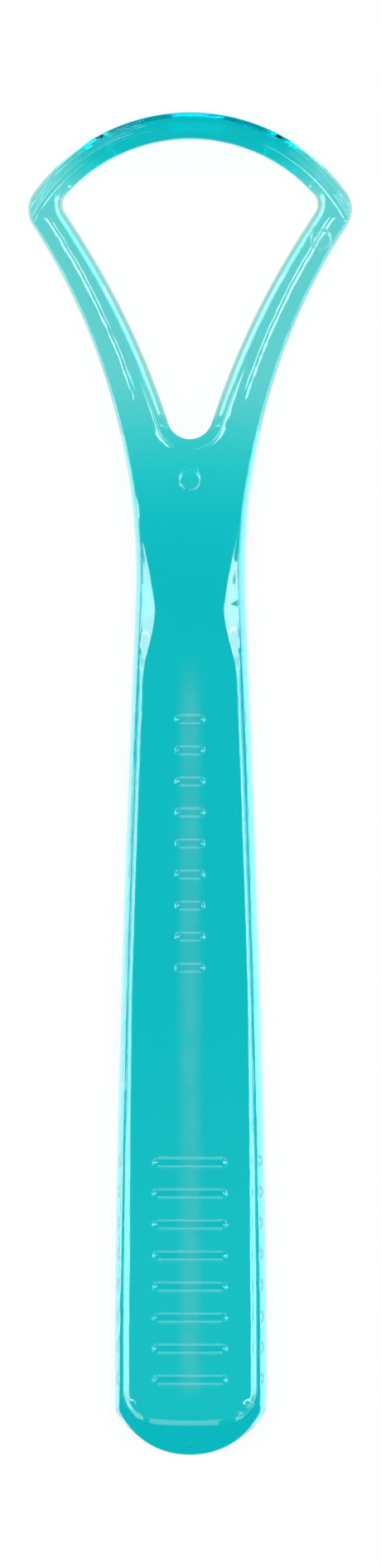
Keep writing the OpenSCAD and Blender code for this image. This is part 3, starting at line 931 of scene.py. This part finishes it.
def clear_teal():
    """Transparent plastic: light loses its red on the way through. A streak down the middle of the handle
    and the head are made faintly hazy, so that they render paler: a painted highlight and a painted sheen.
    The roughness varies as on handled plastic."""
    material = bpy.data.materials.new("clear_teal_plastic")
    material.use_nodes = True
    tree = material.node_tree
    shader = tree.nodes["Principled BSDF"]
    out = tree.nodes["Material Output"]
    shader.inputs["IOR"].default_value = PLASTIC_IOR
    shader.inputs["Base Color"].default_value = PLASTIC_TINT

    place = tree.nodes.new("ShaderNodeTexCoord").outputs["Object"]
    axes = tree.nodes.new("ShaderNodeSeparateXYZ")
    tree.links.new(place, axes.inputs[0])
    noise = node(tree, "ShaderNodeTexNoise", Scale=NOISE_SCALE, Detail=NOISE_DETAIL)
    tree.links.new(place, noise.inputs["Vector"])
    uneven = ramp(tree, noise.outputs["Fac"], *PAINTED_PALENESS_NOISE)

    # The painted highlight down the middle of the handle, made as haze
    across = combined(tree, "ABSOLUTE", axes.outputs["X"], 0.0)
    painted_streak = ramp(tree, across, *PAINTED_STREAK_EDGE, 1.0, 0.0)
    painted_streak = combined(tree, "MULTIPLY", painted_streak, ramp(tree, axes.outputs["Y"], *PAINTED_STREAK_TOP, 1.0, 0.0))
    painted_streak = combined(tree, "MULTIPLY", painted_streak, ramp(tree, axes.outputs["Y"], *PAINTED_STREAK_END, 0.0, 1.0))
    painted_streak = combined(tree, "MULTIPLY", painted_streak, PAINTED_STREAK_STRENGTH)
    # The painted sheen over the head, made as haze
    head = ramp(tree, axes.outputs["Y"], *PAINTED_HEAD_SHEEN_RISE, 0.0, PAINTED_HEAD_SHEEN)
    head = combined(tree, "MULTIPLY", head, ramp(tree, axes.outputs["Y"], *PAINTED_HEAD_SHEEN_FALL, 1.0, 0.0))
    # Painted highlights: less transmission makes these places render paler
    painted_paleness = combined(tree, "MULTIPLY", combined(tree, "ADD", painted_streak, head), uneven)
    tree.links.new(combined(tree, "SUBTRACT", 1.0, painted_paleness), shader.inputs["Transmission Weight"])
    roughness = ramp(tree, noise.outputs["Fac"], *ROUGHNESS_NOISE, *ROUGHNESSES)
    tree.links.new(roughness, shader.inputs["Roughness"])

    inside = node(tree, "ShaderNodeVolumeAbsorption", Color=ABSORPTION_COLOUR, Density=ABSORPTION_DENSITY)
    tree.links.new(inside.outputs["Volume"], out.inputs["Volume"])
    return material


def floor():
    """A plain white floor. Rays that look at it see white paper, and it keeps the shadow."""
    bpy.ops.mesh.primitive_plane_add(size=FLOOR_SIZE, location=(0, 0, FLOOR_LEVEL))
    plane = bpy.context.object
    plane.name = "floor"
    material = bpy.data.materials.new("white_floor")
    material.use_nodes = True
    tree = material.node_tree
    tree.nodes.clear()
    out = tree.nodes.new("ShaderNodeOutputMaterial")
    paper = node(tree, "ShaderNodeBsdfDiffuse", Color=PAPER_COLOUR)
    glow = node(tree, "ShaderNodeEmission", Color=(1, 1, 1, 1), Strength=1.0)
    rays = tree.nodes.new("ShaderNodeLightPath").outputs
    seen = combined(tree, "MAXIMUM", rays["Is Camera Ray"], rays["Is Glossy Ray"])
    seen = combined(tree, "MAXIMUM", seen, rays["Is Transmission Ray"])
    blend = tree.nodes.new("ShaderNodeMixShader")
    tree.links.new(combined(tree, "MULTIPLY", seen, GLOW_SHARE), blend.inputs[0])
    tree.links.new(paper.outputs[0], blend.inputs[1])
    tree.links.new(glow.outputs[0], blend.inputs[2])
    tree.links.new(blend.outputs[0], out.inputs["Surface"])
    plane.data.materials.append(material)


# Soft boxes round the object, all of them facing it: lean from straight above, turn from +X towards +Y
# and height in degrees, length in metres, and brightness
SOFT_BOXES = {
    "right_neck_box": (14.5, -16, 14, 0.11, 10),
    "left_neck_box": (14.5, 196, 14, 0.11, 12),
    "right_high_panel": (34, -8, 28, 0.12, 10),
    "left_high_panel": (34, 188, 28, 0.12, 10),
    "right_low_panel": (62, -4, 28, 0.16, 6.5),
    "left_low_panel": (62, 184, 28, 0.16, 6.5),
    "right_low_strip": (81, 0, 18, 1.2, 6.5),
    "left_low_strip": (81, 180, 18, 1.2, 6.5),
    "right_head_box": (26, 38, 9, 0.17, 9),
    "left_head_box": (26, 142, 9, 0.17, 9),
    "right_head_fill": (26, 60, 9, 0.1, 3),
    "left_head_fill": (26, 116, 9, 0.2, 3),
    "head_end_box": (66, 90, 44, 0.2, 2),
    "handle_end_box": (62, 270, 40, 0.2, 2),
    "right_corner_strip": (81, 50, 18, 0.5, 4),
    "left_corner_strip": (81, 130, 18, 0.5, 4),
}
# How far away the boxes stand, in metres, and the brightness of the dim room
BOX_AWAY = 0.9
ROOM_LIGHT = 0.03

# The camera's lean to the right, and the level that it frames
CAMERA_LEAN = math.radians(1.4)
FRAME_Z = 2.4


def soft_box(name, lean, turn, tall, length, brightness):
    data = bpy.data.lights.new(name, "AREA")
    data.shape = "RECTANGLE"
    data.size = 2 * BOX_AWAY * math.tan(math.radians(tall / 2))
    data.size_y = length
    data.energy = brightness * math.pi * data.size * data.size_y
    lamp = bpy.data.objects.new(name, data)
    lean, turn = math.radians(lean), math.radians(turn)
    lamp.rotation_euler = (0, lean, turn)
    out = Vector((math.sin(lean) * math.cos(turn), math.sin(lean) * math.sin(turn), math.cos(lean)))
    lamp.location = BOX_AWAY * out
    bpy.context.collection.objects.link(lamp)


def room():
    """A dim room, which looks white straight on and to light that has come through the plastic."""
    world = bpy.context.scene.world or bpy.data.worlds.new("world")
    bpy.context.scene.world = world
    world.use_nodes = True
    tree = world.node_tree
    background = tree.nodes["Background"]
    background.inputs["Color"].default_value = (1, 1, 1, 1)
    rays = tree.nodes.new("ShaderNodeLightPath").outputs
    seen = combined(tree, "MAXIMUM", rays["Is Camera Ray"], rays["Is Transmission Ray"])
    level = tree.nodes.new("ShaderNodeMapRange")
    level.inputs["To Min"].default_value = ROOM_LIGHT
    level.inputs["To Max"].default_value = 1.0
    tree.links.new(seen, level.inputs["Value"])
    tree.links.new(level.outputs["Result"], background.inputs["Strength"])


def camera():
    """Looks down from a little to the right, with the object placed as in the photograph."""
    data = bpy.data.cameras.new("camera")
    data.sensor_width = SENSOR_W
    data.lens = LENS
    cam = bpy.data.objects.new("camera", data)
    bpy.context.collection.objects.link(cam)
    px = (TOP_Y - END_Y) * MM / OBJECT_ROWS
    middle_x, middle_y = PHOTO_MIDDLE
    away = PHOTO_H * px * LENS / SENSOR_W
    middle = Vector(((PHOTO_W / 2 - middle_x) * px, (middle_y - PHOTO_H / 2) * px, FRAME_Z * MM))
    cam.rotation_euler = (0, CAMERA_LEAN, 0)
    cam.location = middle + away * Vector((math.sin(CAMERA_LEAN), 0, math.cos(CAMERA_LEAN)))
    bpy.context.scene.camera = cam


camera()
scraper = moulding()
scraper.data.materials.append(clear_teal())
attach(scraper, "root")
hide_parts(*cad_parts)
floor()
for name, values in SOFT_BOXES.items():
    soft_box(name, *values)
room()
bpy.context.scene.view_settings.view_transform = "Standard"
